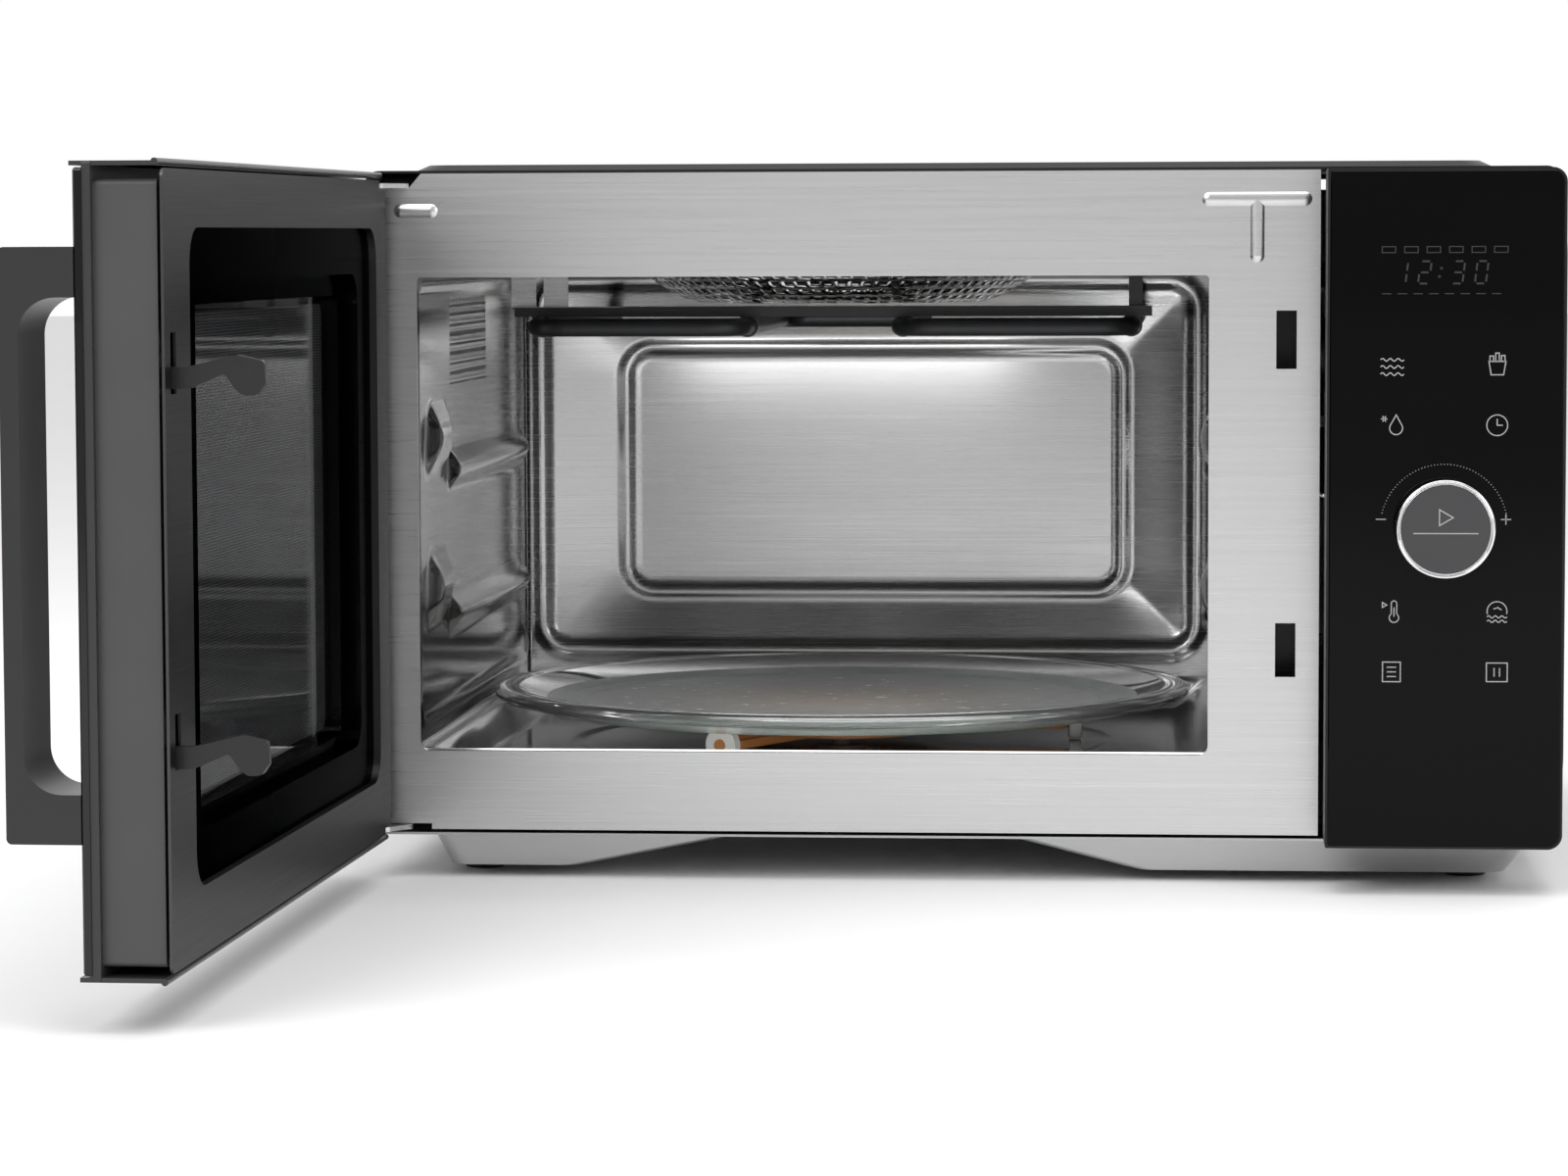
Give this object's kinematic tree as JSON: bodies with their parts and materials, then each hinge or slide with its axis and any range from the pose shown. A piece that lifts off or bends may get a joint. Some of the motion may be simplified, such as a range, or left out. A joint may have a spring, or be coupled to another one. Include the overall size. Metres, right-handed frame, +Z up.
{
  "type": "microwave oven",
  "caption": "Free-standing microwave oven with grill and hot air: side-hinged latching door, glass turntable on a roller ring, touch panel with a turning and pressing dial.",
  "frame": {"origin": "middle of the casing's footprint, on the surface under the feet", "axes": "+X to the control panel (right as one faces the oven), +Y to the rear, +Z up; the door stands open along -Y at rest"},
  "size_m": [0.5543, 0.7752, 0.3],
  "materials": {
    "brushed_front": "horizontal brushed",
    "cavity_steel": "bright satin",
    "mica": "matte",
    "element": "heat-darkened",
    "bright_bracket": "satin",
    "galvanised": "galvanised",
    "hinge_steel": "polished",
    "motor_steel": "plated",
    "can_aluminium": "plain",
    "fan_metal": "plain",
    "fan_plastic": "matte",
    "black_paint": "fine texture",
    "foot_rubber": "matte",
    "inlet_plastic": "matte",
    "screw_steel": "plated",
    "panel_plastic": "satin",
    "panel_glass": "gloss black",
    "display": "tinted",
    "board_green": "matte",
    "encoder_grey": "matte",
    "shaft_steel": "plated",
    "dial_dark": "satin",
    "dial_ring": "polished",
    "interlock_plastic": "matte",
    "switch_plastic": "matte",
    "magnetron_metal": "plain",
    "core_iron": "varnished",
    "lamp_ceramic": "plain",
    "coupler_plastic": "matte",
    "tray_glass": "textured clear",
    "ring_plastic": "matte",
    "roller_white": "matte",
    "door_black_glass": "gloss black",
    "door_frame_dark": "satin",
    "door_side_grey": "satin",
    "door_panel_steel": "dark brushed",
    "choke_black": "gloss enamel",
    "mesh_dark": "matte perforated",
    "window_glass": "tinted",
    "handle_grey": "satin",
    "latch_black": "satin",
    "spring_steel": "plain"
  },
  "bodies": {
    "casing": {"front_plate": "brushed_front", "cavity_floor": "cavity_steel", "cavity_left_wall": "cavity_steel", "cavity_right_wall": "cavity_steel", "cavity_ceiling": "cavity_steel", "cavity_back_wall": "cavity_steel", "ceiling_grille": "cavity_steel", "waveguide_cover": "mica", "grill_heater": "element", "hot_air_heater": "element", "grill_bracket": "bright_bracket", "hot_air_housing": "galvanised", "base_pan": "galvanised", "foot_pods": "galvanised", "rear_panel": "galvanised", "hinge_brackets": "galvanised", "waveguide": "galvanised", "fan_shroud": "galvanised", "hinge_pins": "hinge_steel", "hot_air_motor": "motor_steel", "turntable_motor": "motor_steel", "thermal_cutouts": "motor_steel", "capacitor": "can_aluminium", "outer_cover": "black_paint", "rubber_feet": "foot_rubber", "mains_inlet": "inlet_plastic", "cover_screws": "screw_steel", "control_housing": "panel_plastic", "control_glass": "panel_glass", "display_module": "display", "control_board": "board_green", "noise_filter": "board_green", "dial_encoder": "encoder_grey", "interlock_housing": "interlock_plastic", "interlock_switches": "switch_plastic", "magnetron": "magnetron_metal", "transformer": "core_iron", "fan_motor": "core_iron", "oven_lamp": "lamp_ceramic"},
    "door": {"door_glass": "door_black_glass", "door_front_frame": "door_frame_dark", "door_side_frame": "door_side_grey", "door_inner_panel": "door_panel_steel", "door_choke_frame": "choke_black", "door_mesh": "mesh_dark", "door_inner_glass": "window_glass", "door_handle": "handle_grey", "latch_spring": "spring_steel"},
    "latch": {"latch_bar": "latch_black"},
    "dial_core": {"encoder_shaft": "shaft_steel"},
    "dial": {"dial_knob": "dial_dark", "dial_trim": "dial_ring"},
    "turntable": {"drive_coupler": "coupler_plastic", "glass_tray": "tray_glass"},
    "roller_ring": {"roller_ring": "ring_plastic"},
    "roller_wheel_1": {"roller_1": "roller_white"},
    "roller_wheel_2": {"roller_2": "roller_white"},
    "roller_wheel_3": {"roller_3": "roller_white"},
    "cooling_fan_wheel": {"cooling_fan": "fan_plastic"},
    "hot_air_fan_wheel": {"hot_air_fan": "fan_metal"}
  },
  "joints": [
    {"name": "door_hinge", "type": "hinge", "parent": "casing", "child": "door", "pos_m": [-0.2433, -0.1785, 0.155], "axis": [0, 0, 1], "range_deg": [-8.76, 91.24]},
    {"name": "latch_lift", "type": "slide", "parent": "door", "child": "latch", "axis": [0, 0, 1], "range_m": [0, 0.007], "stiffness_N_per_m": 150, "springref_m": -0.004, "deforming": ["latch_spring"]},
    {"name": "dial_press", "type": "slide", "parent": "casing", "child": "dial_core", "axis": [0, 1, 0], "range_m": [0, 0.001], "stiffness_N_per_m": 1500, "springref_m": -0.0006},
    {"name": "dial_turn", "type": "hinge", "parent": "dial_core", "child": "dial", "pos_m": [0.1994, -0.2058, 0.151], "axis": [0, 1, 0], "continuous": true},
    {"name": "turntable_spin", "type": "hinge", "parent": "casing", "child": "turntable", "pos_m": [-0.061, 0, 0.0411], "axis": [0, 0, 1], "continuous": true},
    {"name": "roller_ring_spin", "type": "hinge", "parent": "casing", "child": "roller_ring", "pos_m": [-0.061, 0, 0.04885], "axis": [0, 0, 1], "continuous": true},
    {"name": "cooling_fan_spin", "type": "hinge", "parent": "casing", "child": "cooling_fan_wheel", "pos_m": [0.175, 0.173, 0.185], "axis": [0, 1, 0], "continuous": true},
    {"name": "hot_air_fan_spin", "type": "hinge", "parent": "casing", "child": "hot_air_fan_wheel", "pos_m": [-0.061, 0, 0.262], "axis": [0, 0, 1], "continuous": true},
    {"name": "roller_1_spin", "type": "hinge", "parent": "roller_ring", "child": "roller_wheel_1", "pos_m": [0.0446, 0.00924, 0.04885], "axis": [0.9962, 0.0872, 0], "continuous": true},
    {"name": "roller_2_spin", "type": "hinge", "parent": "roller_ring", "child": "roller_wheel_2", "pos_m": [-0.1218, 0.08683, 0.04885], "axis": [-0.5736, 0.8192, 0], "continuous": true},
    {"name": "roller_3_spin", "type": "hinge", "parent": "roller_ring", "child": "roller_wheel_3", "pos_m": [-0.1058, -0.09607, 0.04885], "axis": [-0.4226, -0.9063, 0], "continuous": true}
  ],
  "couplings": [
    {"joint": "roller_ring_spin", "follows": "turntable_spin", "ratio": 0.5},
    {"joint": "roller_1_spin", "follows": "turntable_spin", "ratio": -7.0667},
    {"joint": "roller_2_spin", "follows": "turntable_spin", "ratio": -7.0667},
    {"joint": "roller_3_spin", "follows": "turntable_spin", "ratio": -7.0667}
  ]
}
